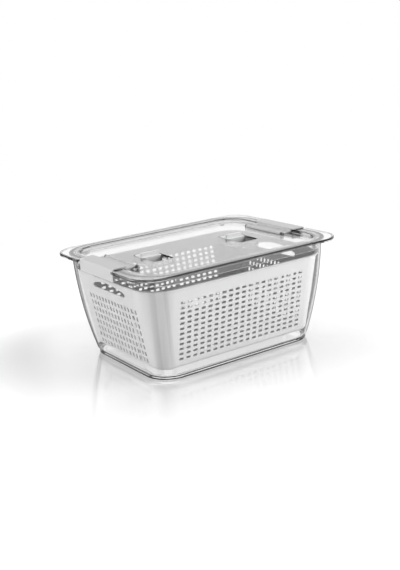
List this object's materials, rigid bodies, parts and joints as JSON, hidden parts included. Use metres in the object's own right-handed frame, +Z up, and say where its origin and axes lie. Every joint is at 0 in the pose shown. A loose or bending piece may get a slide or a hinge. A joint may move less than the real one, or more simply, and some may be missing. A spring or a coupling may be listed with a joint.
{
  "type": "fridge organizer bin",
  "caption": "Clear rectangular food keeper with a lift-out drain basket, a vented lid with sliding shutters and a hinged snap clip at each end.",
  "frame": {"origin": "on the surface that the bin stands on, under the centre of its plan", "axes": "+Z up, +X along the length from one clip to the other, +Y across the width towards the back of the pictured view; the vents slide along Y"},
  "size_m": [0.3, 0.226, 0.1371],
  "materials": {
    "clear_shell": "polished clear moulded plastic",
    "basket_white": "white moulded plastic, half gloss",
    "clear_lid": "polished clear moulded plastic",
    "clip_grey": "light grey moulded plastic, fine grain",
    "slider_grey": "light grey moulded plastic, fine grain"
  },
  "bodies": {
    "container": {"container": "clear_shell"},
    "basket": {"drain_basket": "basket_white"},
    "lid": {"lid": "clear_lid"},
    "clip_left": {"clip_left": "clip_grey"},
    "clip_right": {"clip_right": "clip_grey"},
    "vent_left": {"vent_slider_left": "slider_grey"},
    "vent_right": {"vent_slider_right": "slider_grey"}
  },
  "joints": [
    {"name": "basket_lift", "type": "slide", "parent": "container", "child": "basket", "axis": [0, 0, 1], "range_m": [0, 0.13]},
    {"name": "lid_lift", "type": "slide", "parent": "basket", "child": "lid", "axis": [0, 0, 1], "range_m": [0, 0.06]},
    {"name": "clip_left_hinge", "type": "hinge", "parent": "lid", "child": "clip_left", "pos_m": [-0.111, 0, 0.1322], "axis": [0, 1, 0], "range_deg": [0, 100]},
    {"name": "clip_right_hinge", "type": "hinge", "parent": "lid", "child": "clip_right", "pos_m": [0.111, 0, 0.1322], "axis": [0, -1, 0], "range_deg": [0, 100]},
    {"name": "vent_left_slide", "type": "slide", "parent": "lid", "child": "vent_left", "axis": [0, -1, 0], "range_m": [0, 0.025]},
    {"name": "vent_right_slide", "type": "slide", "parent": "lid", "child": "vent_right", "axis": [0, -1, 0], "range_m": [0, 0.025]}
  ]
}
